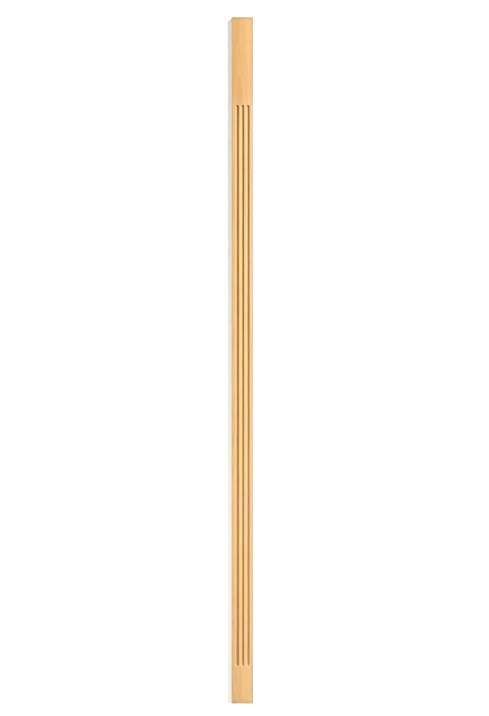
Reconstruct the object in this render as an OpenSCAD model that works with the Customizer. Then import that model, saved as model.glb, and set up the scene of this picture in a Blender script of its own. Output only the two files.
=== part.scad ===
// Fluted pilaster: one solid wooden board with stopped flutes down its face.
// It stands upright with its flat back against a wall or a cabinet.
// X runs across the face, Y runs into the wall and Z runs up.
// The origin is on the back, in the middle of its width, level with the foot.

/* [Board] */
// Length from the foot to the head (mm)
board_length = 2438.4; // [1200:0.1:3600]
// Width of the face (mm)
board_width = 76.2; // [56:0.1:150]
// Thickness from the back to the face (mm)
board_thickness = 19.05; // [10:0.05:40]
// Radius of the eased long edges of the face (mm)
edge_radius = 1.0; // [0.4:0.1:4]

/* [Flutes] */
// How many flutes stand side by side
flute_count = 3; // [1:1:3]
// Width of each flute where it meets the face (mm)
flute_width = 12.7; // [6:0.1:18]
// Depth of each flute at its middle (mm)
flute_depth = 6.35; // [2:0.05:15]
// Distance between the middles of two neighbouring flutes (mm)
flute_spacing = 19.05; // [13.5:0.05:28]

/* [Plain ends] */
// Plain length between the head and the top of the flutes (mm)
head_blank = 311.15; // [20:0.05:2000]
// Plain length between the foot and the bottom of the flutes (mm)
foot_blank = 133.35; // [20:0.05:2000]

/* [Hidden] */

// How far a cutting shape runs past the surface that it cuts
overshoot = 1.0;
// Segments in a full circle, for previews
circle_steps = 96;
wood_colour = [0.93, 0.72, 0.46];

// Where the face is, and the middle of the first flute
face_y = -board_thickness;
half_flute = flute_width / 2;
first_flute_x = -flute_spacing * (flute_count - 1) / 2;

// Each flute is cut by a round-nosed cutter. A flute shallower than half its width is
// the arc through its two lips and its bottom. A deeper one is a half circle with
// straight walls above it.
shallow = flute_depth < half_flute;
arc_radius = (half_flute * half_flute + flute_depth * flute_depth) / (2 * flute_depth);
cutter_radius = shallow ? arc_radius : half_flute;
cutter_y = face_y + flute_depth - cutter_radius;
wall_depth = max(flute_depth - half_flute, 0);

// Where the middle of the cutter starts and stops, which leaves round ends on the face
cutter_low = foot_blank + half_flute;
cutter_high = board_length - head_blank - half_flute;

// The board's section: square at the back, with both front corners rounded.
module board_section() {
    half_width = board_width / 2;
    translate([-half_width, face_y + edge_radius])
        square([board_width, board_thickness - edge_radius]);
    translate([-half_width + edge_radius, face_y])
        square([board_width - 2 * edge_radius, board_thickness]);
    for (side = [-1, 1])
        translate([side * (half_width - edge_radius), face_y + edge_radius])
            circle(r = edge_radius, $fn = circle_steps);
}

// Half of a bar with two round ends, from the middle of one end to the middle of the other.
module cutter_profile(travel) {
    reach = cutter_radius + overshoot;
    intersection() {
        union() {
            square([cutter_radius, travel]);
            for (middle = [0, travel])
                translate([0, middle])
                    circle(r = cutter_radius, $fn = circle_steps);
        }
        translate([0, -reach])
            square([reach, travel + 2 * reach]);
    }
}

// The straight walls of a deep flute, from the middle of the cutter out past the face.
module straight_walls(travel) {
    translate([0, cutter_y, 0])
        rotate([90, 0, 0])
            linear_extrude(wall_depth + overshoot) {
                for (side = [0, 1])
                    mirror([side, 0])
                        square([half_flute, travel]);
                for (middle = [0, travel])
                    translate([0, middle])
                        circle(r = half_flute, $fn = circle_steps);
            }
}

// All that one flute takes out of the board.
module flute() {
    travel = cutter_high - cutter_low;
    translate([0, 0, cutter_low]) {
        translate([0, cutter_y, 0])
            rotate([0, 0, -90])
                rotate_extrude($fn = circle_steps)
                    cutter_profile(travel);
        if (wall_depth > 0)
            straight_walls(travel);
    }
}

module pilaster() {
    color(wood_colour)
        difference() {
            linear_extrude(board_length)
                board_section();
            for (i = [0 : flute_count - 1])
                translate([first_flute_x + i * flute_spacing, 0, 0])
                    flute();
        }
}

pilaster();
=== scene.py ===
"""The looks of the fluted pilaster: its fine mesh, its wood, the stage, the lights and the camera.

Everything is in metres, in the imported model's frame: X across the face, Y into the wall, Z up.
Only the wood's pattern is in millimetres.
"""
import math
from collections import namedtuple

import bpy
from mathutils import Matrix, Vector


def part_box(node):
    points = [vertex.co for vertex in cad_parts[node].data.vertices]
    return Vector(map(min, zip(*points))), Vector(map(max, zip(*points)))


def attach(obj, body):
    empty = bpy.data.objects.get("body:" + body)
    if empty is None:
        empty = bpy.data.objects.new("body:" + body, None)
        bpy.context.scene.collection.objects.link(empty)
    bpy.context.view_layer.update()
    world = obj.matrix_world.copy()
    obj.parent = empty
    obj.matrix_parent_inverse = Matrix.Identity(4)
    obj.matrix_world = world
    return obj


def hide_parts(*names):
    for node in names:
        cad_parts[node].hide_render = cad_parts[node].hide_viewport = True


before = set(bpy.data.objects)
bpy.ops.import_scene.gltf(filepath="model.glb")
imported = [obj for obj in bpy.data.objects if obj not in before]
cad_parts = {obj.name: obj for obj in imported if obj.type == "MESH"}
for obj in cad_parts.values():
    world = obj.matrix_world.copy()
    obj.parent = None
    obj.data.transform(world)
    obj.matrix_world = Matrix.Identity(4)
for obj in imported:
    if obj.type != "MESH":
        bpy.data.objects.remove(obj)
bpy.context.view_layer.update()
low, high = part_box("pilaster")

# The board's own sizes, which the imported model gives
HALF_WIDTH = (high.x - low.x) / 2
MIDDLE_X = (high.x + low.x) / 2
FACE_Y, BACK_Y = low.y, high.y
FOOT_Z, HEAD_Z = low.z, high.z
MIDDLE_Z = (FOOT_Z + HEAD_Z) / 2

# The flutes, cut by a round-nosed cutter, which starts and stops at FLUTE_LOW and FLUTE_HIGH
FLUTE_RADIUS = 0.00635
FLUTE_SPACING = 0.01905
FLUTE_COUNT = 3
HEAD_BLANK = 0.31115
FOOT_BLANK = 0.13335
FLUTE_LOW = FOOT_Z + FOOT_BLANK + FLUTE_RADIUS
FLUTE_HIGH = HEAD_Z - HEAD_BLANK - FLUTE_RADIUS
FLUTE_MIDDLES = [MIDDLE_X + FLUTE_SPACING * (i - (FLUTE_COUNT - 1) / 2) for i in range(FLUTE_COUNT)]

# Radii of the eased edges
EDGE_RADIUS = 0.001     # the face's long edges
LIP_RADIUS = 0.00025    # the flutes' lips
BACK_RADIUS = 0.0005    # the back's long edges
END_RADIUS = 0.0003     # the sawn ends


# ---------------------------------------------------------------- mesh

# Steps in each part of the mesh
ARC_STEPS = 14          # from a flute's lip to its bottom
LIP_STEPS = 4
ROUND_STEPS = 28        # round half of a flute's end
CELL_SIDE_STEPS = 7     # of ROUND_STEPS, those that meet each side of the cell round a flute
CELL_TOP_STEPS = ROUND_STEPS - 2 * CELL_SIDE_STEPS
EDGE_STEPS = 6
BACK_EDGE_STEPS = 3
END_STEPS = 3
SIDE_STEPS = 4
MARGIN_STEPS = 3
STATION = 0.022         # the longest step along the board
FLAT_RING = 0.3         # where a ring lies between a lip and its cell's side

# A flute has a flat cell round it, which reaches halfway to the next flute
CELL_HALF = FLUTE_SPACING / 2
CELL_END = 0.0115       # from the middle of a flute's round end to its cell's end

# The wood reads two values from the mesh: lip, at the lips and edges, where a painted highlight
# goes, and cut, down in a flute, where a painted shade goes and another painted highlight is left
# out
EDGE_LIP = 0.35         # a long edge, where a flute's lip is 1
SHADE_FROM, SHADE_FULL = 0.35, 0.92   # shares of a flute's depth where cut sets in

# The bake's map: the board's skin is cut across at half length and unrolled into two strips
MAP_PIXELS = 1024
MAP_GAP = 4 / MAP_PIXELS
STRIP = 0.5             # from one strip to the next
SIDE_SCALE = 0.75       # how large the sides and the back are on it, beside the face
BACK_SCALE = 0.5
CAP_HEIGHT = 50 / MAP_PIXELS

# Vertices are one within a tenth of a micron, and a count of steps forgives rounding
PLACES_IN_METRE = 1e7
ROUNDING = 1e-9

Point = namedtuple("Point", "x y nx ny unrolled lip")
Ring = namedtuple("Ring", "out depth lean unrolled lip cut")


def painted_shade_share(depth):
    """How far down in a flute a depth lies, which is how much painted shade it takes: 0 on the
    upper walls, 1 at the bottom.
    """
    share = min(max((depth / FLUTE_RADIUS - SHADE_FROM) / (SHADE_FULL - SHADE_FROM), 0.0), 1.0)
    return share * share * (3 - 2 * share)


def flute_rings():
    """A flute's section from its lip to its bottom. A ring is a distance out from the middle, a
    depth, its normal's lean, its unrolled distance from the bottom, and its lip and cut."""
    reach = FLUTE_RADIUS + LIP_RADIUS
    lip_out = math.sqrt(reach ** 2 - LIP_RADIUS ** 2)
    lean = math.atan2(lip_out, LIP_RADIUS)
    rings = []
    for i in range(LIP_STEPS + 1):
        turn = lean * i / LIP_STEPS
        depth = LIP_RADIUS * (1 - math.cos(turn))
        rings.append(Ring(lip_out - LIP_RADIUS * math.sin(turn), depth, turn,
                          FLUTE_RADIUS * lean + LIP_RADIUS * (lean - turn), 1.0, painted_shade_share(depth)))
    for i in range(1, ARC_STEPS + 1):
        turn = lean * (1 - i / ARC_STEPS)
        depth = FLUTE_RADIUS * math.cos(turn)
        rings.append(Ring(FLUTE_RADIUS * math.sin(turn), depth, turn, FLUTE_RADIUS * turn,
                          0.0, painted_shade_share(depth)))
    return rings


RINGS = flute_rings()
LIP_OUT, LIP_UNROLLED = RINGS[0].out, RINGS[0].unrolled
CELL_HALF_UNROLLED = LIP_UNROLLED + CELL_HALF - LIP_OUT
CELL_END_UNROLLED = LIP_UNROLLED + CELL_END - LIP_OUT


def steps_between(start, end, longest):
    """Even steps from start to end, both included, none longer than longest."""
    count = max(1, math.ceil((end - start) / longest - ROUNDING))
    return [start + (end - start) * i / count for i in range(count + 1)]


def stations():
    """Heights along the board and their unrolled heights, from foot to head, without the eased
    ends. One is at half length, where the map is cut."""
    side = [CELL_END * i / CELL_SIDE_STEPS for i in range(CELL_SIDE_STEPS + 1)]
    stretch = CELL_END_UNROLLED / CELL_END
    parts = [
        (steps_between(FOOT_Z + END_RADIUS, FLUTE_LOW - CELL_END, STATION), 1),
        ([FLUTE_LOW - s for s in reversed(side)], stretch),
        (steps_between(FLUTE_LOW, MIDDLE_Z, STATION), 1),
        (steps_between(MIDDLE_Z, FLUTE_HIGH, STATION), 1),
        ([FLUTE_HIGH + s for s in side], stretch),
        (steps_between(FLUTE_HIGH + CELL_END, HEAD_Z - END_RADIUS, STATION), 1),
    ]
    found, unrolled = [parts[0][0][0]], [0.0]
    for heights, scale in parts:
        for below, above in zip(heights, heights[1:]):
            found.append(above)
            unrolled.append(unrolled[-1] + (above - below) * scale)
    return found, unrolled


def outline():
    """The points of the section's outline at a plain end, from the left back corner round by the
    face, and the numbers of those where the face and the cells begin and end and the back ends."""
    points = []

    def add(x, y, nx, ny, step, lip=0.0):
        points.append(Point(x, y, nx, ny, (points[-1].unrolled if points else 0.0) + step, lip))

    def corner(cx, cy, radius, start, count, lip=0.0):
        for i in range(1, count + 1):
            turn = math.radians(start + 90 * i / count)
            add(cx + radius * math.cos(turn), cy + radius * math.sin(turn), math.cos(turn),
                math.sin(turn), radius * math.pi / 2 / count,
                lip * math.sin(math.pi * i / count))

    left, right = MIDDLE_X - HALF_WIDTH, MIDDLE_X + HALF_WIDTH
    side_back, side_front = BACK_Y - BACK_RADIUS, FACE_Y + EDGE_RADIUS
    side_step = (side_back - side_front) / SIDE_STEPS
    add(left, side_back, -1, 0, 0)
    for i in range(1, SIDE_STEPS + 1):
        add(left, side_back - side_step * i, -1, 0, side_step * SIDE_SCALE)
    corner(left + EDGE_RADIUS, side_front, EDGE_RADIUS, 180, EDGE_STEPS, EDGE_LIP)
    first_face = len(points) - 1
    margin = FLUTE_MIDDLES[0] - CELL_HALF - (left + EDGE_RADIUS)
    for i in range(1, MARGIN_STEPS + 1):
        add(left + EDGE_RADIUS + margin * i / MARGIN_STEPS, FACE_Y, 0, -1, margin / MARGIN_STEPS)
    first_cell = len(points) - 1
    for middle in FLUTE_MIDDLES:
        for i in range(1, CELL_TOP_STEPS + 1):
            add(middle + CELL_HALF * (2 * i / CELL_TOP_STEPS - 1), FACE_Y, 0, -1,
                2 * CELL_HALF_UNROLLED / CELL_TOP_STEPS)
    last_cell = len(points) - 1
    for i in range(1, MARGIN_STEPS + 1):
        add(FLUTE_MIDDLES[-1] + CELL_HALF + margin * i / MARGIN_STEPS, FACE_Y, 0, -1,
            margin / MARGIN_STEPS)
    last_face = len(points) - 1
    corner(right - EDGE_RADIUS, side_front, EDGE_RADIUS, 270, EDGE_STEPS, EDGE_LIP)
    for i in range(1, SIDE_STEPS + 1):
        add(right, side_front + side_step * i, 1, 0, side_step * SIDE_SCALE)
    corner(right - BACK_RADIUS, side_back, BACK_RADIUS, 0, BACK_EDGE_STEPS)
    # The back has the face's own columns, so that the sawn ends are made of quads
    for i in range(last_face, first_face - 1, -1):
        add(points[i].x, BACK_Y, 0, 1, (points[-1].x - points[i].x) * BACK_SCALE)
    last_back = len(points) - 1
    add(left + BACK_RADIUS, BACK_Y, 0, 1, (points[-1].x - left - BACK_RADIUS) * BACK_SCALE)
    corner(left + BACK_RADIUS, side_back, BACK_RADIUS, 90, BACK_EDGE_STEPS)
    marks = {"face": (first_face, last_face), "cells": (first_cell, last_cell), "back": last_back}
    return points, marks


def on_flat(step, share):
    """A point of the flat round a flute's end, from the middle of its round: how far across and
    up it is, and the same unrolled. Share goes from 0 at the lip to 1 at the cell's border."""
    turn = math.pi * step / ROUND_STEPS
    lip = (LIP_OUT * math.cos(turn), LIP_OUT * math.sin(turn), LIP_UNROLLED * math.cos(turn),
           LIP_UNROLLED * math.sin(turn))
    up = min(step, ROUND_STEPS - step, CELL_SIDE_STEPS) / CELL_SIDE_STEPS
    along = 1 - 2 * min(max(step - CELL_SIDE_STEPS, 0), CELL_TOP_STEPS) / CELL_TOP_STEPS
    border = (CELL_HALF * along, CELL_END * up, CELL_HALF_UNROLLED * along,
              CELL_END_UNROLLED * up)
    return [a + (b - a) * share for a, b in zip(lip, border)]


class Skin:
    """The board's faces, with one vertex at each place, and where each corner lies on the map.
    A corner is a vertex and its (u, v). Upper is 1 above half length, on the second strip."""

    def __init__(self):
        self.found = {}
        self.places, self.normals, self.lips, self.shade_shares = [], [], [], []
        self.faces, self.corners = [], []
        self.points, self.marks = outline()
        self.heights, self.unrolled = stations()
        self.middle = self.heights.index(MIDDLE_Z)
        self.middle_v = self.unrolled[self.middle]
        longer_half = max(self.middle_v, self.unrolled[-1] - self.middle_v)
        self.scale_u = (STRIP - 2 * MAP_GAP) / self.points[-1].unrolled
        self.scale_v = (1 - CAP_HEIGHT - 3 * MAP_GAP) / (longer_half + END_RADIUS * math.pi)

    def on_map(self, u, v, upper):
        """Where unrolled distances across and along the board lie on the map."""
        start = -self.middle_v if upper else END_RADIUS * math.pi / 2
        return MAP_GAP + upper * STRIP + u * self.scale_u, MAP_GAP + (v + start) * self.scale_v

    def vertex(self, place, normal, lip=0.0, cut=0.0):
        key = tuple(round(c * PLACES_IN_METRE) for c in place)
        if key not in self.found:
            self.found[key] = len(self.places)
            self.places.append(place)
            self.normals.append(Vector(normal).normalized())
            self.lips.append(lip)
            self.shade_shares.append(cut)
        return self.found[key]

    def face(self, corners):
        """Adds a face, leaving out a corner that comes twice."""
        kept = [c for i, c in enumerate(corners) if c[0] != corners[i - 1][0]]
        if len(kept) > 2:
            self.faces.append([c[0] for c in kept])
            self.corners.extend(c[1] for c in kept)

    def grid(self, rows):
        """Adds quads between rows of corners."""
        for below, above in zip(rows, rows[1:]):
            for i in range(len(below) - 1):
                self.face([below[i], below[i + 1], above[i + 1], above[i]])

    def on_outline(self, point, height, v, upper, lean=0.0, end=0):
        """An outline point at a height. Lean above 0 is how far round the eased end it is."""
        drawn_in = END_RADIUS * (1 - math.cos(lean))
        place = (point.x - point.nx * drawn_in, point.y - point.ny * drawn_in, height)
        normal = (point.nx * math.cos(lean), point.ny * math.cos(lean), end * math.sin(lean))
        return self.vertex(place, normal, point.lip), self.on_map(point.unrolled, v, upper)

    def add_plain_skin(self):
        """All of the outline, but for the cells where the flutes run."""
        first_cell, last_cell = self.marks["cells"]
        flutes_from = self.heights.index(FLUTE_LOW - CELL_END)
        flutes_to = self.heights.index(FLUTE_HIGH + CELL_END)
        beside_flutes = [self.points[:first_cell + 1], self.points[last_cell:]]
        for j in range(len(self.heights) - 1):
            upper = int(j >= self.middle)
            for run in beside_flutes if flutes_from <= j < flutes_to else [self.points]:
                self.grid([[self.on_outline(p, self.heights[k], self.unrolled[k], upper)
                            for p in run] for k in (j, j + 1)])

    def add_end(self, end):
        """The eased end and its sawn face, at the foot (-1) or the head (1)."""
        j, upper = (len(self.heights) - 1, 1) if end > 0 else (0, 0)
        rows = []
        for i in range(END_STEPS + 1):
            lean = math.pi / 2 * i / END_STEPS
            height = self.heights[j] + end * END_RADIUS * math.sin(lean)
            v = self.unrolled[j] + end * END_RADIUS * lean
            rows.append([self.on_outline(p, height, v, upper, lean, end) for p in self.points])
        self.grid(rows if end > 0 else rows[::-1])
        rim = [c[0] for c in rows[-1]]
        cap_scale = (CAP_HEIGHT - MAP_GAP) / (BACK_Y - FACE_Y)

        def cap(indices):
            flat = []
            for i in indices:
                x, y, _ = self.places[rim[i]]
                flat.append((rim[i], (MAP_GAP + upper * STRIP + (x - low.x) * cap_scale,
                                      1 - CAP_HEIGHT + (y - FACE_Y) * cap_scale)))
            self.face(flat if end > 0 else flat[::-1])

        first, last = self.marks["face"]
        back = self.marks["back"]
        for i in range(first, last):
            across = back - (i - first)
            cap([i, i + 1, across - 1, across])
        cap([*range(last, back - (last - first) + 1)])
        cap([*range(back, len(self.points) - 1), *range(0, first + 1)])

    def add_flute(self, number):
        """One flute and the flat cell round it."""
        centre = FLUTE_MIDDLES[number]
        first_cell, _ = self.marks["cells"]
        centre_u = self.points[first_cell].unrolled + (2 * number + 1) * CELL_HALF_UNROLLED

        def on_ring(ring, cos, sin, height, v, upper):
            """A ring's corner, which lies the way (cos, sin) across and along the board."""
            place = (centre + ring.out * cos, FACE_Y + ring.depth, height + ring.out * sin)
            normal = (-math.sin(ring.lean) * cos, -math.cos(ring.lean),
                      -math.sin(ring.lean) * sin)
            return (self.vertex(place, normal, ring.lip, ring.cut),
                    self.on_map(centre_u + ring.unrolled * cos, v + ring.unrolled * sin, upper))

        # The straight run
        flat_width = (CELL_HALF - LIP_OUT) * FLAT_RING
        flat = Ring(LIP_OUT + flat_width, 0.0, 0.0, LIP_UNROLLED + flat_width, 0.0, 0.0)
        border = Ring(CELL_HALF, 0.0, 0.0, CELL_HALF_UNROLLED, 0.0, 0.0)
        section = [(ring, -1) for ring in (border, flat, *RINGS)]
        section += [(ring, 1) for ring in (*RINGS[-2::-1], flat, border)]
        for j in range(self.heights.index(FLUTE_LOW), self.heights.index(FLUTE_HIGH)):
            upper = int(j >= self.middle)
            self.grid([[on_ring(ring, way, 0, self.heights[k], self.unrolled[k], upper)
                        for ring, way in section] for k in (j, j + 1)])

        # The round ends
        turns = [math.pi * step / ROUND_STEPS for step in range(ROUND_STEPS + 1)]
        for end, height in ((-1, FLUTE_LOW), (1, FLUTE_HIGH)):
            v, upper = self.unrolled[self.heights.index(height)], int(end > 0)
            rounds = [[on_ring(ring, end * math.cos(t), end * math.sin(t), height, v, upper)
                       for t in turns] for ring in RINGS]
            flats = []
            for share in (1.0, FLAT_RING):
                row = []
                for step in range(ROUND_STEPS + 1):
                    x, z, across, along = on_flat(step, share)
                    place = (centre + end * x, FACE_Y, height + end * z)
                    row.append((self.vertex(place, (0, -1, 0)),
                                self.on_map(centre_u + end * across, v + end * along, upper)))
                flats.append(row)
            self.grid(flats + rounds)


def board_object():
    skin = Skin()
    skin.add_plain_skin()
    skin.add_end(-1)
    skin.add_end(1)
    for number in range(FLUTE_COUNT):
        skin.add_flute(number)
    mesh = bpy.data.meshes.new("fluted_board")
    mesh.from_pydata(skin.places, [], skin.faces)
    layer = mesh.uv_layers.new(name="OFBake")
    layer.uv.foreach_set("vector", [c for corner in skin.corners for c in corner])
    for name, values in (("lip", skin.lips), ("cut", skin.shade_shares)):
        mesh.attributes.new(name, "FLOAT", "POINT").data.foreach_set("value", values)
    mesh.shade_smooth()
    mesh.normals_split_custom_set_from_vertices(skin.normals)
    mesh.update()
    made = bpy.data.objects.new("fluted_board", mesh)
    bpy.context.scene.collection.objects.link(made)
    return made


# ---------------------------------------------------------------- nodes

def rgb(*colour):
    return (*colour, 1.0)


class Nodes:
    """A material's nodes, made and linked with short calls."""

    def __init__(self, name):
        self.material = bpy.data.materials.new(name)
        self.material.use_nodes = True
        self.tree = self.material.node_tree
        self.tree.nodes.clear()

    def node(self, kind, **settings):
        made = self.tree.nodes.new("ShaderNode" + kind)
        for key, value in settings.items():
            setattr(made, key, value)
        return made

    def put(self, socket, value):
        if isinstance(value, bpy.types.NodeSocket):
            self.tree.links.new(value, socket)
        else:
            socket.default_value = value

    def math(self, operation, *values, clamp=False):
        made = self.node("Math", operation=operation, use_clamp=clamp)
        for socket, value in zip(made.inputs, values):
            self.put(socket, value)
        return made.outputs[0]

    def times(self, a, b):
        return self.math("MULTIPLY", a, b)

    def total(self, first, *others):
        for value in others:
            first = self.math("ADD", first, value)
        return first

    def swing(self, noise, width):
        """A noise as a shift to both sides of 0."""
        return self.times(self.math("SUBTRACT", noise, 0.5), width)

    def joined(self, *values):
        made = self.node("CombineXYZ")
        for socket, value in zip(made.inputs, values):
            self.put(socket, value)
        return made.outputs[0]

    def split(self, vector):
        made = self.node("SeparateXYZ")
        self.put(made.inputs[0], vector)
        return made.outputs

    def stretched(self, coordinates, scale, offset):
        made = self.node("Mapping", vector_type="POINT")
        self.put(made.inputs["Vector"], coordinates)
        made.inputs["Scale"].default_value = scale
        made.inputs["Location"].default_value = offset
        return made.outputs[0]

    def noise(self, coordinates, kind):
        made = self.node("TexNoise", noise_dimensions="3D")
        self.put(made.inputs["Vector"], self.stretched(coordinates, kind.scale, kind.offset))
        made.inputs["Scale"].default_value = 1.0
        made.inputs["Detail"].default_value = kind.detail
        made.inputs["Roughness"].default_value = kind.roughness
        return made.outputs["Fac"]

    def ramp(self, value, stops, ease="LINEAR"):
        """The colour at a value. A stop has a position and a colour or a grey."""
        made = self.node("ValToRGB")
        made.color_ramp.interpolation = ease
        elements = made.color_ramp.elements
        while len(elements) < len(stops):
            elements.new(1.0)
        for element, (at, colour) in zip(elements, stops):
            element.position = at
            element.color = rgb(*colour) if isinstance(colour, tuple) else rgb(*[colour] * 3)
        self.put(made.inputs["Fac"], value)
        return made.outputs["Color"]

    def span(self, value, low_in, high_in, low_out=0.0, high_out=1.0, ease="LINEAR"):
        """Goes from low_out to high_out as the value goes from low_in to high_in."""
        made = self.node("MapRange", interpolation_type=ease, clamp=True)
        for socket, number in zip(made.inputs, (value, low_in, high_in, low_out, high_out)):
            self.put(socket, number)
        return made.outputs["Result"]

    def mix(self, share, a, b, blend="MIX"):
        made = self.node("Mix", data_type="RGBA", blend_type=blend, clamp_result=False)
        self.put(made.inputs["Factor"], share)
        self.put(made.inputs[6], a)
        self.put(made.inputs[7], b)
        return made.outputs[2]

    def tint(self, share, colour, factor):
        """The colour times a factor, as far as share says."""
        return self.mix(share, colour, self.mix(1.0, colour, rgb(*factor), "MULTIPLY"))


# ---------------------------------------------------------------- wood

MM = 1000.0             # millimetres in a metre

# The tree's pith lies behind the board, to its left, and leans a little along its length (mm)
PITH = (-24.0, 52.0)
PITH_LEAN = (0.006, 0.010)
RING_WIDTH = 2.9

# A slow noise along the radius makes rings wider and narrower: its scale, and its reach in rings
RINGS_VARY_SCALE, RINGS_VARY = 0.11, 2.6

# The late wood through a year, and the share of it in the faintest year
LATE_STOPS = ((0.0, 0.75), (0.10, 0.12), (0.30, 0.0), (0.62, 0.25), (0.90, 0.95), (1.0, 1.0))
FAINTEST_YEAR = 0.45

# The noises: their scales per millimetre along X, Y and Z, and where they start
Noise = namedtuple("Noise", "scale offset detail roughness")
WANDER = Noise((0.018, 0.018, 0.0011), (3.1, 7.7, 0.4), 3.0, 0.55)
RIPPLE = Noise((0.10, 0.10, 0.006), (1.7, 0.2, 5.3), 2.0, 0.5)
FINE = Noise((2.6, 2.6, 0.034), (0.0, 0.0, 0.0), 3.0, 0.6)
MEDIUM = Noise((0.75, 0.75, 0.0085), (4.0, 9.0, 2.0), 3.0, 0.6)
BROAD = Noise((0.17, 0.17, 0.0020), (8.5, 2.0, 6.0), 2.0, 0.5)
PATCH = Noise((0.012, 0.02, 0.0028), (0.3, 4.0, 9.0), 2.0, 0.5)
HUE = Noise((0.034, 0.05, 0.0060), (11.5, 5.7, 8.2), 2.0, 0.6)
FLECK = Noise((0.32, 0.32, 0.026), (5.5, 3.2, 7.1), 2.5, 0.6)
PORE_SCALE, PORE_OFFSET = (1.1, 1.1, 0.075), (2.2, 0.4, 0.9)

# How far the wander and the ripple shift the rings (mm), and their shares in the fibres
WANDER_WIDTH, RIPPLE_WIDTH = 11.0, 1.6
WANDER_IN_FIBRES, RIPPLE_IN_FIBRES = 0.35, 0.6

# The wood's tones from left to right, and how far the broad streaks and the patches shift them
TONES = ((0.0, (0.548, 0.318, 0.122)), (0.32, (0.580, 0.343, 0.131)),
         (0.55, (0.628, 0.375, 0.147)), (1.0, (0.656, 0.399, 0.192)))
BROAD_SHIFT, PATCH_SHIFT = 0.55, 0.35

# What each feature does to the tone
LATE_WOOD = (0.90, 0.83, 0.76)
FIBRE_DARK = (0.93, 0.89, 0.84)
STREAK_RED = (0.96, 0.90, 0.84)
HONEY = (1.00, 1.02, 0.86)
ROSE = (1.00, 0.965, 1.03)
# A painted highlight: the board below the head is paler and creamier
LAND_HIGHLIGHT = (1.03, 1.11, 1.31)
# A painted shade: the flutes' bottoms are darker
HOLLOW_SHADE = (0.96, 0.98, 0.92)
FLECK_DARK = (0.90, 0.87, 0.82)
ARRIS = (0.78, 0.86, 0.96)
# Darker along the right edge
RIGHT_EDGE_DARK = (0.84, 0.93, 0.98)
END_GRAIN = (0.80, 0.72, 0.62)
PORE, PORE_SHARE = (0.30, 0.135, 0.045), 0.30
# A painted highlight on the lips and the long edges
LIP_HIGHLIGHT_TINT = (0.84, 0.58, 0.31)

# How far each noise counts: from low in and high in to low out and high out
STREAK_SPAN = (0.52, 0.70, 0.0, 0.8, "SMOOTHSTEP")
FIBRE_SPAN = (0.50, 0.72, 0.0, 1.0, "SMOOTHSTEP")
HONEY_SPAN = (0.50, 0.66, 0.0, 1.0, "SMOOTHSTEP")
ROSE_SPAN = (0.50, 0.34, 0.0, 1.0, "SMOOTHSTEP")
FLECK_SPAN = (0.50, 0.68, 0.0, 0.75, "SMOOTHSTEP")
THIN_SPAN = (0.30, 0.75, 1.055, 0.94)
PORE_SPAN = (0.08, 0.20, 1.0, 0.0, "SMOOTHSTEP")
PORE_FIBRE_SPAN = (0.42, 0.62)
ARRIS_FIBRE_SPAN = (0.35, 0.60, 0.75, 1.0)
LIP_HIGHLIGHT_SPAN = (0.35, 0.65, 0.40, 0.75)
UPRIGHT_SPAN = (0.25, 0.95, 0.0, 1.0, "SMOOTHSTEP")
ROUGH_SPAN = (0.25, 0.75, 0.40, 0.52)

# Bands along an edge: how far from it they set in, and how far from it they are full (mm)
SIDE_BAND = (5.0, 0.8)
HEAD_BAND = (12.5, 4.5)
FOOT_BAND = (17.0, 3.0)
RIGHT_EDGE_BAND = (6.5, 3.5)
FACE_BAND = (3.5, 0.8)

# The painted highlight of the paler, creamier wood fades out from below the flutes' top to above it
# (mm)
HIGHLIGHT_BELOW, HIGHLIGHT_ABOVE = 15, 45

# The flecks grow stronger down between two heights above the foot (mm), by these factors
FLECKS_FROM, FLECKS_FULL = 250, 90
FLECKS_ABOVE, FLECKS_AT_FOOT = 0.85, 2.2

# Heights in the bump, and the pitch of the ripples that a planer and a saw leave (mm). The first
# ripples waver with the grain and the second slant across the end, both in radians.
FINE_HIGH, MEDIUM_HIGH, LATE_HIGH, PORE_DEEP = 0.050, 0.030, 0.012, 0.050
KNIFE_PITCH, KNIFE_HIGH, KNIFE_WAVER = 1.9, 0.0022, 9.0
SAW_PITCH, SAW_HIGH, SAW_SLANT = 1.3, 0.02, 0.9
BUMP_STRENGTH = 0.6
BUMP_UNIT = 0.001       # a height of 1 in metres

# What the grain does to the roughness
LATE_SMOOTH, END_ROUGH, PORE_ROUGH = 0.06, 0.36, 0.10

# The fuzz of cut fibres, which catches the light on the flutes' walls
SHEEN, SHEEN_ROUGHNESS, SHEEN_TINT = 0.3, 0.5, (1.0, 0.94, 0.82)


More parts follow.
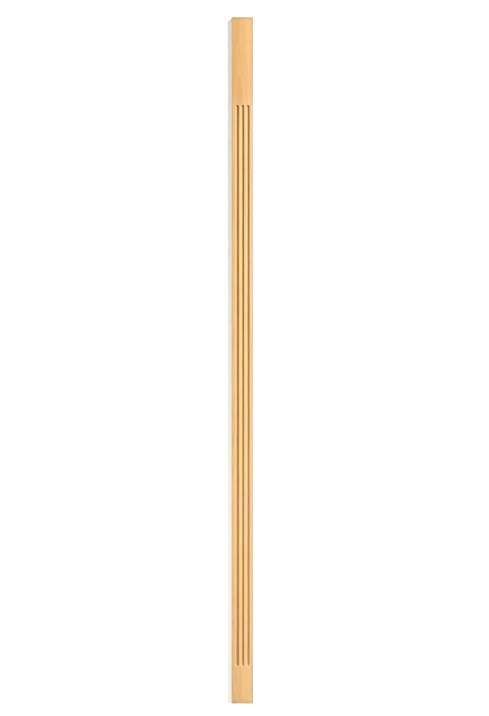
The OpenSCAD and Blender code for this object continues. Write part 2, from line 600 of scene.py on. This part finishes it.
class Grain:
    """The wood's pattern in a material, in millimetres."""

    def __init__(self, n):
        self.n = n
        place = n.node("VectorMath", operation="SCALE")
        n.put(place.inputs[0], n.node("TexCoord").outputs["Object"])
        place.inputs["Scale"].default_value = MM
        self.place = place.outputs["Vector"]
        self.x, self.y, self.z = n.split(self.place)

        # A slow wander of the grain, so that nothing runs dead straight
        self.wander = n.swing(n.noise(self.place, WANDER), WANDER_WIDTH)
        self.ripple_noise = n.noise(self.place, RIPPLE)
        self.ripple = n.swing(self.ripple_noise, RIPPLE_WIDTH)
        self.late = self.late_wood()

        # Fibres: fine, medium and broad streaks that run with the grain
        self.fibres = n.joined(
            n.math("ADD", self.x, n.times(self.wander, WANDER_IN_FIBRES)),
            n.math("ADD", self.y, n.times(self.ripple, RIPPLE_IN_FIBRES)), self.z)
        self.fine = n.noise(self.fibres, FINE)
        self.medium = n.noise(self.fibres, MEDIUM)
        self.broad = n.noise(self.fibres, BROAD)
        self.pores = self.short_pores()

        # Sawn ends and the flutes' round ends show end grain
        facing = n.split(n.node("NewGeometry").outputs["Normal"])
        self.end_grain = n.span(n.math("ABSOLUTE", facing[2]), *UPRIGHT_SPAN)

    def late_wood(self):
        """The late wood of the rings round the pith. Some years are strong and some faint."""
        n = self.n
        off_pith = [n.math("SUBTRACT", n.math("SUBTRACT", at, pith), n.times(self.z, lean))
                    for at, pith, lean in zip((self.x, self.y), PITH, PITH_LEAN)]
        length = n.node("VectorMath", operation="LENGTH")
        n.put(length.inputs[0], n.joined(*off_pith))
        radius = n.total(length.outputs["Value"], self.wander, self.ripple)
        vary = n.node("TexNoise", noise_dimensions="1D")
        n.put(vary.inputs["W"], n.times(radius, RINGS_VARY_SCALE))
        vary.inputs["Detail"].default_value = 2.0
        age = n.math("ADD", n.math("DIVIDE", radius, RING_WIDTH),
                     n.times(vary.outputs["Fac"], RINGS_VARY))
        late = n.ramp(n.math("FRACT", age), LATE_STOPS)
        year = n.node("TexWhiteNoise", noise_dimensions="1D")
        n.put(year.inputs["W"], n.math("FLOOR", age))
        return n.times(late, n.span(year.outputs["Value"], 0.0, 1.0, FAINTEST_YEAR, 1.0))

    def short_pores(self):
        """Short dark pores, which keep to the darker fibres."""
        n = self.n
        cells = n.node("TexVoronoi", feature="F1", voronoi_dimensions="3D")
        n.put(cells.inputs["Vector"], n.stretched(self.fibres, PORE_SCALE, PORE_OFFSET))
        cells.inputs["Scale"].default_value = 1.0
        pores = n.span(cells.outputs["Distance"], *PORE_SPAN)
        return n.times(pores, n.span(self.medium, *PORE_FIBRE_SPAN))

    def colour(self):
        """The wood's colour, with all that darkens or pales it, painted shade and painted
        highlights among them.
        """
        n = self.n
        half_width = MM * HALF_WIDTH
        tone_at = n.math("ADD", n.span(self.x, -half_width, half_width),
                         n.swing(self.broad, BROAD_SHIFT))
        patch = n.noise(self.place, PATCH)
        tone_at = n.math("ADD", tone_at, n.swing(patch, PATCH_SHIFT), clamp=True)
        colour = n.ramp(tone_at, TONES, "EASE")
        colour = n.tint(self.late, colour, LATE_WOOD)
        colour = n.tint(n.span(self.broad, *STREAK_SPAN), colour, STREAK_RED)
        colour = n.tint(n.span(self.medium, *FIBRE_SPAN), colour, FIBRE_DARK)

        # Long patches of honey and of rose
        hue = n.noise(self.place, HUE)
        colour = n.tint(n.span(hue, *HONEY_SPAN), colour, HONEY)
        colour = n.tint(n.span(hue, *ROSE_SPAN), colour, ROSE)

        # Below the head the board is paler and creamier, but for the bottoms of the flutes: on the
        # lands and the flutes' upper walls this is a painted highlight
        cut = n.node("Attribute", attribute_name="cut").outputs["Fac"]
        flute_top = MM * (HEAD_Z - HEAD_BLANK)
        below_head = n.span(self.z, flute_top - HIGHLIGHT_BELOW, flute_top + HIGHLIGHT_ABOVE, 1.0, 0.0,
                            "SMOOTHSTEP")
        colour = n.tint(n.times(below_head, n.math("SUBTRACT", 1.0, cut)), colour, LAND_HIGHLIGHT)
        # Painted shade: the bottoms of the flutes are darker
        colour = n.tint(cut, colour, HOLLOW_SHADE)

        # Flecks, which are stronger near the foot
        foot = MM * FOOT_Z
        strength = n.span(self.z, foot + FLECKS_FROM, foot + FLECKS_FULL, FLECKS_ABOVE,
                          FLECKS_AT_FOOT, "SMOOTHSTEP")
        flecks = n.span(n.noise(self.fibres, FLECK), *FLECK_SPAN)
        colour = n.tint(n.times(flecks, strength), colour, FLECK_DARK)

        # The finest fibres, the pores and the end grain
        thin = n.span(self.fine, *THIN_SPAN)
        thin_colour = n.node("CombineColor")
        for socket in thin_colour.inputs[:3]:
            n.put(socket, thin)
        colour = n.mix(1.0, colour, thin_colour.outputs[0], "MULTIPLY")
        colour = n.mix(n.times(self.pores, PORE_SHARE), colour, rgb(*PORE))
        colour = n.tint(self.end_grain, colour, END_GRAIN)
        return self.painted_lip_highlight(self.darkened(colour))

    def darkened(self, colour):
        """The face's outer edges and its ends are darker, the right edge most of all."""
        n = self.n
        half_width, right = MM * HALF_WIDTH, MM * (MIDDLE_X + HALF_WIDTH)
        head, foot, face = MM * HEAD_Z, MM * FOOT_Z, MM * FACE_Y
        off_middle = n.math("ABSOLUTE", n.math("SUBTRACT", self.x, MM * MIDDLE_X))
        outer = n.span(off_middle, *[half_width - away for away in SIDE_BAND])
        outer = n.math("MAXIMUM", outer, n.span(self.z, *[head - away for away in HEAD_BAND]))
        outer = n.math("MAXIMUM", outer, n.span(self.z, *[foot + away for away in FOOT_BAND]))
        near_face = n.span(self.y, *[face + away for away in FACE_BAND])
        outer = n.times(n.times(outer, near_face), n.span(self.medium, *ARRIS_FIBRE_SPAN))
        colour = n.tint(outer, colour, ARRIS)
        right_edge = n.span(self.x, *[right - away for away in RIGHT_EDGE_BAND])
        return n.tint(n.times(right_edge, near_face), colour, RIGHT_EDGE_DARK)

    def painted_lip_highlight(self, colour):
        """The lips and the long edges are painted a little paler: a painted highlight."""
        n = self.n
        lip = n.node("Attribute", attribute_name="lip").outputs["Fac"]
        return n.mix(n.times(lip, n.span(self.medium, *LIP_HIGHLIGHT_SPAN)), colour, rgb(*LIP_HIGHLIGHT_TINT))

    def bump(self):
        """Fibres, raised late wood, pores, and the faint ripples of a planer and a saw."""
        n = self.n
        knife = n.math("SINE", n.math("ADD", n.times(self.z, 2 * math.pi / KNIFE_PITCH),
                                      n.times(self.ripple_noise, KNIFE_WAVER)))
        saw = n.math("SINE", n.math("ADD", n.times(self.x, 2 * math.pi / SAW_PITCH),
                                    n.times(self.y, SAW_SLANT)))
        height = n.total(n.times(self.fine, FINE_HIGH), n.times(self.medium, MEDIUM_HIGH),
                         n.times(self.late, LATE_HIGH), n.times(self.pores, -PORE_DEEP),
                         n.times(knife, KNIFE_HIGH),
                         n.times(n.times(saw, self.end_grain), SAW_HIGH))
        made = n.node("Bump")
        made.inputs["Strength"].default_value = BUMP_STRENGTH
        made.inputs["Distance"].default_value = BUMP_UNIT
        n.put(made.inputs["Height"], height)
        return made.outputs[0]

    def roughness(self):
        n = self.n
        return n.total(n.span(self.fine, *ROUGH_SPAN), n.times(self.late, -LATE_SMOOTH),
                       n.times(self.end_grain, END_ROUGH), n.times(self.pores, PORE_ROUGH))


def wood():
    n = Nodes("wood")
    grain = Grain(n)
    surface = n.node("BsdfPrincipled")
    n.put(surface.inputs["Base Color"], grain.colour())
    n.put(surface.inputs["Roughness"], grain.roughness())
    n.put(surface.inputs["Normal"], grain.bump())
    surface.inputs["Specular IOR Level"].default_value = 0.5
    surface.inputs["Sheen Weight"].default_value = SHEEN
    surface.inputs["Sheen Roughness"].default_value = SHEEN_ROUGHNESS
    surface.inputs["Sheen Tint"].default_value = rgb(*SHEEN_TINT)
    n.put(n.node("OutputMaterial").inputs["Surface"], surface.outputs[0])
    return n.material


# ---------------------------------------------------------------- stage

STAGE_WHITE = (0.93, 0.93, 0.93)
STAGE_GLOW = (0.94, 1.0, 0.98)
FLOOR_GLOW, WALL_GLOW = 1.05, 0.475
STAGE_REACH, WALL_RISE = 8.0, 12.0
STAGE_GAP = 0.0004      # between the board and the floor or the wall


def plane(name, corners, material):
    mesh = bpy.data.meshes.new(name)
    mesh.from_pydata(corners, [], [(0, 1, 2, 3)])
    mesh.materials.append(material)
    made = bpy.data.objects.new(name, mesh)
    bpy.context.scene.collection.objects.link(made)
    return made


def pale(name, glow, one_sided=False):
    """A matt white that glows a little. One side may be clear, to be seen through from behind."""
    n = Nodes(name)
    surface = n.node("BsdfPrincipled")
    surface.inputs["Base Color"].default_value = rgb(*STAGE_WHITE)
    surface.inputs["Roughness"].default_value = 1.0
    surface.inputs["Specular IOR Level"].default_value = 0.0
    surface.inputs["Emission Color"].default_value = rgb(*STAGE_GLOW)
    surface.inputs["Emission Strength"].default_value = glow
    shown = surface.outputs[0]
    if one_sided:
        choice = n.node("MixShader")
        n.put(choice.inputs[0], n.node("NewGeometry").outputs["Backfacing"])
        n.put(choice.inputs[1], shown)
        n.put(choice.inputs[2], n.node("BsdfTransparent").outputs[0])
        shown = choice.outputs[0]
    n.put(n.node("OutputMaterial").inputs["Surface"], shown)
    return n.material


def build_stage():
    reach, floor_z, wall_y = STAGE_REACH, FOOT_Z - STAGE_GAP, BACK_Y + STAGE_GAP
    floor = plane("floor", [(-reach, -reach, floor_z), (reach, -reach, floor_z),
                            (reach, reach, floor_z), (-reach, reach, floor_z)],
                  pale("pale_floor", FLOOR_GLOW))
    floor.visible_diffuse = floor.visible_glossy = False
    wall = plane("wall", [(-reach, wall_y, floor_z), (reach, wall_y, floor_z),
                          (reach, wall_y, WALL_RISE), (-reach, wall_y, WALL_RISE)],
                 pale("pale_wall", WALL_GLOW, one_sided=True))
    # The wall only takes the board's shadow: light from behind reaches the board's back
    wall.visible_diffuse = wall.visible_glossy = wall.visible_transmission = False
    wall.visible_shadow = False


# ---------------------------------------------------------------- lights

# The ambient light comes off warm walls
WARM = (1.0, 0.78, 0.46)
AMBIENT = 0.09

# The lights on the face are aimed at a height on it, and stand a distance away from there
FaceLight = namedtuple("FaceLight", "aim_z way distance size watts")
KEY = FaceLight(HEAD_Z - 0.3, (0.98, -1.0, 0.78), 8.0, (3.8, 1.4), 1035.0)
SOFT_SIDE = FaceLight(0.5, (1.2, -1.0, 0.30), 3.6, (1.6, 1.6), 98.0)

# A low fill by the foot
LOW_AT, LOW_AIM_Z, LOW_SIZE, LOW_WATTS = (-0.9, -1.5, 0.25), 0.3, (0.8, 0.8), 12.5
LOW_COLOUR = (1.0, 0.94, 0.86)

# Two lights show the back
BACK_SIZE = (2.0, 2.0)
BACK_LEFT_AT, BACK_LEFT_WATTS = (-3.0, 2.6, 2.8), 200.0
BACK_RIGHT_AT, BACK_RIGHT_WATTS = (0.5, 3.6, 0.8), 120.0


def area_light(name, at, aim, size, watts, colour=(1, 1, 1)):
    lamp = bpy.data.lights.new(name, "AREA")
    lamp.shape = "RECTANGLE"
    lamp.size, lamp.size_y = size
    lamp.energy = watts
    lamp.color = colour
    made = bpy.data.objects.new(name, lamp)
    made.location = at
    made.rotation_euler = (Vector(aim) - Vector(at)).to_track_quat("-Z", "Y").to_euler()
    made.visible_camera = False
    bpy.context.scene.collection.objects.link(made)


def face_light(name, light):
    aim = Vector((MIDDLE_X, FACE_Y, light.aim_z))
    at = aim + Vector(light.way).normalized() * light.distance
    area_light(name, at, aim, light.size, light.watts)


def light_world():
    """The camera sees white, and the board is lit by a weak warm light."""
    world = bpy.data.worlds.new("studio")
    bpy.context.scene.world = world
    world.use_nodes = True
    tree = world.node_tree
    tree.nodes.clear()
    seen, lit = tree.nodes.new("ShaderNodeBackground"), tree.nodes.new("ShaderNodeBackground")
    seen.inputs["Color"].default_value = rgb(1, 1, 1)
    lit.inputs["Color"].default_value = rgb(*WARM)
    seen.inputs["Strength"].default_value = 1.0
    lit.inputs["Strength"].default_value = AMBIENT
    choice = tree.nodes.new("ShaderNodeMixShader")
    camera_ray = tree.nodes.new("ShaderNodeLightPath").outputs["Is Camera Ray"]
    tree.links.new(camera_ray, choice.inputs[0])
    tree.links.new(lit.outputs[0], choice.inputs[1])
    tree.links.new(seen.outputs[0], choice.inputs[2])
    tree.links.new(choice.outputs[0], tree.nodes.new("ShaderNodeOutputWorld").inputs[0])


def light_scene():
    light_world()
    face_light("key", KEY)
    face_light("soft_side", SOFT_SIDE)
    area_light("low_fill", LOW_AT, (MIDDLE_X, FACE_Y, LOW_AIM_Z), LOW_SIZE, LOW_WATTS, LOW_COLOUR)
    middle = (MIDDLE_X, BACK_Y, MIDDLE_Z)
    area_light("back_left", BACK_LEFT_AT, middle, BACK_SIZE, BACK_LEFT_WATTS)
    area_light("back_right", BACK_RIGHT_AT, middle, BACK_SIZE, BACK_RIGHT_WATTS)


# ---------------------------------------------------------------- camera

# How far the camera stands from the face, and how far it is off the board's middle
CAMERA_DISTANCE = 7.0625
CAMERA_OFF_X, CAMERA_OFF_Z = 0.0076, 0.0085
CAMERA_LENS, CAMERA_SENSOR = 100.0, 36.0    # mm
FILTER_WIDTH = 1.05     # in pixels


def add_camera():
    lens = bpy.data.cameras.new("camera")
    lens.lens, lens.sensor_width = CAMERA_LENS, CAMERA_SENSOR
    camera = bpy.data.objects.new("camera", lens)
    camera.location = (MIDDLE_X + CAMERA_OFF_X, FACE_Y - CAMERA_DISTANCE, MIDDLE_Z + CAMERA_OFF_Z)
    camera.rotation_euler = (math.radians(90), 0, 0)
    bpy.context.scene.collection.objects.link(camera)
    bpy.context.scene.camera = camera


add_camera()
board = board_object()
board.data.materials.append(wood())
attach(board, "root")
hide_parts("pilaster")
build_stage()
light_scene()
bpy.context.scene.view_settings.view_transform = "Standard"
bpy.context.scene.cycles.filter_width = FILTER_WIDTH
